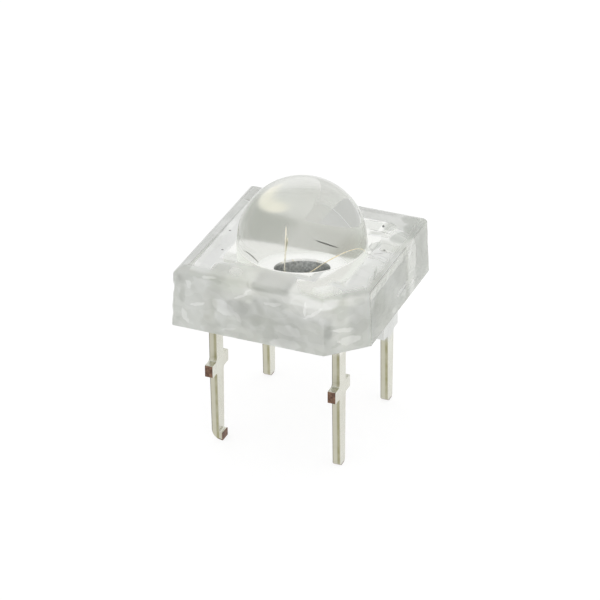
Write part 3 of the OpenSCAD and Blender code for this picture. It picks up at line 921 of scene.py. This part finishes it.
class LED_OT_lead_frames(bpy.types.Operator):
    """Finish both stamped lead frames"""

    bl_idname = "led.lead_frames"
    bl_label = "Lead Frames"

    def execute(self, context):
        material = plated_strip(context.scene.led_colours, context.scene.led_body)
        for node in ("cup_lead_frame", "post_lead_frame"):
            wear(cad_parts[node], material)
        return {"FINISHED"}


class LED_OT_die(bpy.types.Operator):
    """Finish the die, its adhesive and its pads"""

    bl_idname = "led.die"
    bl_label = "Die and Pads"

    def execute(self, context):
        colours = context.scene.led_colours
        wear(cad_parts["led_die"], die_crystal(colours))
        wear(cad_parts["die_adhesive"], die_glue())
        gold = bright_gold(colours)
        for node in ("cup_side_pad", "post_side_pad"):
            wear(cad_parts[node], gold)
        return {"FINISHED"}


class LED_OT_bond_wires(bpy.types.Operator):
    """Finish the bond wires"""

    bl_idname = "led.bond_wires"
    bl_label = "Bond Wires"

    def execute(self, context):
        gold = bright_gold(context.scene.led_colours)
        for node in ("cup_side_wire", "post_side_wire"):
            wear(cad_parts[node], gold)
        return {"FINISHED"}


def ramp(tree, factor, stops):
    """A smooth ramp of greys, from pairs of place and brightness."""
    node = tree.nodes.new("ShaderNodeValToRGB")
    node.color_ramp.interpolation = "B_SPLINE"
    tree.links.new(factor, node.inputs[0])
    marks = node.color_ramp.elements
    while len(marks) < len(stops):
        marks.new(0.5)
    for mark, (place, grey) in zip(marks, stops):
        mark.position = place
        mark.color = (grey, grey, grey, 1)
    return node.outputs["Color"]


def plain_rays(tree):
    """A mask that is 1 for the camera's own rays."""
    return tree.nodes.new("ShaderNodeLightPath").outputs["Is Camera Ray"]


def studio_world():
    """A white studio. Resin and metal show it bright behind and overhead, darker at the front."""
    world = bpy.data.worlds.new("studio")
    world.use_nodes = True
    bpy.context.scene.world = world
    tree = world.node_tree
    link = tree.links.new
    spread = tree.nodes.new("ShaderNodeSeparateXYZ")
    link(tree.nodes.new("ShaderNodeTexCoord").outputs["Generated"], spread.inputs["Vector"])
    behind = ramp(tree, spread.outputs["Z"], [(0.0, 0.8), (0.25, 1.05), (0.5, 1.25), (0.9, 1.2)])
    front = ramp(tree, spread.outputs["Z"], [(0.0, 0.7), (0.3, 0.78), (0.6, 0.88), (0.9, 1.2)])
    side = step(tree, spread.outputs["Y"], -0.5, 0.4)
    sky = blend(tree, side, front, behind)
    back = tree.nodes["Background"]
    back.inputs["Color"].default_value = (1, 1, 1, 1)
    link(blend(tree, plain_rays(tree), sky, 1.0), back.inputs["Strength"])


def white_floor():
    """A white floor with a faint shadow. Resin and metal see its glow with a painted shadow, darker
    towards the front.
    """
    mesh = bpy.data.meshes.new("floor")
    reach = 0.5
    corners = [(-reach, -reach, 0), (reach, -reach, 0), (reach, reach, 0), (-reach, reach, 0)]
    mesh.from_pydata(corners, [], [(0, 1, 2, 3)])
    floor = bpy.data.objects.new("floor", mesh)
    bpy.context.scene.collection.objects.link(floor)
    material, tree, shader = fresh_material("floor_white")
    link = tree.links.new
    shader.inputs["Base Color"].default_value = (0.25, 0.25, 0.25, 1)
    shader.inputs["Roughness"].default_value = 1.0
    shader.inputs["Specular IOR Level"].default_value = 0.0
    shader.inputs["Emission Color"].default_value = (1, 1, 1, 1)
    spread = tree.nodes.new("ShaderNodeSeparateXYZ")
    link(tree.nodes.new("ShaderNodeTexCoord").outputs["Object"], spread.inputs["Vector"])
    # Painted shadow: resin and metal see the floor's glow darker towards the front
    seen = edge(tree, spread.outputs["Y"], -12.0, 0.0, 0.66, 0.76)
    link(blend(tree, plain_rays(tree), seen, 0.8), shader.inputs["Emission Strength"])
    wear(floor, material)


def photo_camera(stage, base):
    """The camera at the photograph's viewing angle."""
    a, e, roll = stage.azimuth, stage.elevation, stage.roll
    back = Vector((np.sin(a) * np.cos(e), -np.cos(a) * np.cos(e), np.sin(e)))
    right = Vector((np.cos(a), np.sin(a), 0))
    up = back.cross(right)
    right, up = right * np.cos(roll) + up * np.sin(roll), up * np.cos(roll) - right * np.sin(roll)
    place = Vector((0, 0, base)) + back * stage.distance
    place += right * stage.offset[0] + up * stage.offset[1]
    data = bpy.data.cameras.new("camera")
    data.lens = stage.focal
    data.sensor_width = 36
    data.clip_start = 0.001
    camera = bpy.data.objects.new("camera", data)
    turn = Matrix((right, up, back)).transposed().to_4x4()
    camera.matrix_world = Matrix.Translation(place) @ turn
    bpy.context.scene.collection.objects.link(camera)
    bpy.context.scene.camera = camera


class LED_OT_stage(bpy.types.Operator):
    """Make the floor, the light and the camera"""

    bl_idname = "led.stage"
    bl_label = "Stage"

    def execute(self, context):
        studio_world()
        white_floor()
        photo_camera(context.scene.led_stage, context.scene.led_body.base)
        context.scene.view_settings.view_transform = "Standard"
        return {"FINISHED"}


class LED_PT_panel(bpy.types.Panel):
    """Sizes, colours and steps of the LED"""

    bl_label = "Clear LED"
    bl_idname = "LED_PT_panel"
    bl_space_type = "VIEW_3D"
    bl_region_type = "UI"
    bl_category = "LED"

    def draw(self, context):
        layout = self.layout
        for group in GROUPS:
            settings = getattr(context.scene, group)
            box = layout.box()
            box.label(text=group.removeprefix("led_").capitalize())
            for key in settings.__annotations__:
                box.prop(settings, key)
        for action in ACTIONS:
            layout.operator(action)


ACTIONS = ("led.resin_body", "led.lead_frames", "led.die", "led.bond_wires", "led.stage")
GROUPS = {"led_body": BodySizes, "led_colours": FinishColours, "led_stage": StageSettings}
CLASSES = (
    *GROUPS.values(), LED_OT_resin_body, LED_OT_lead_frames, LED_OT_die, LED_OT_bond_wires,
    LED_OT_stage, LED_PT_panel,
)


def register():
    """Adds the classes and their settings to Blender."""
    for cls in CLASSES:
        bpy.utils.register_class(cls)
    for name, group in GROUPS.items():
        setattr(bpy.types.Scene, name, PointerProperty(type=group))


def unregister():
    """Takes the settings and the classes out again."""
    for name in GROUPS:
        delattr(bpy.types.Scene, name)
    for cls in reversed(CLASSES):
        bpy.utils.unregister_class(cls)


def main():
    """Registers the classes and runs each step."""
    register()
    bpy.ops.led.resin_body()
    bpy.ops.led.lead_frames()
    bpy.ops.led.die()
    bpy.ops.led.bond_wires()
    bpy.ops.led.stage()


if __name__ == "__main__":
    main()
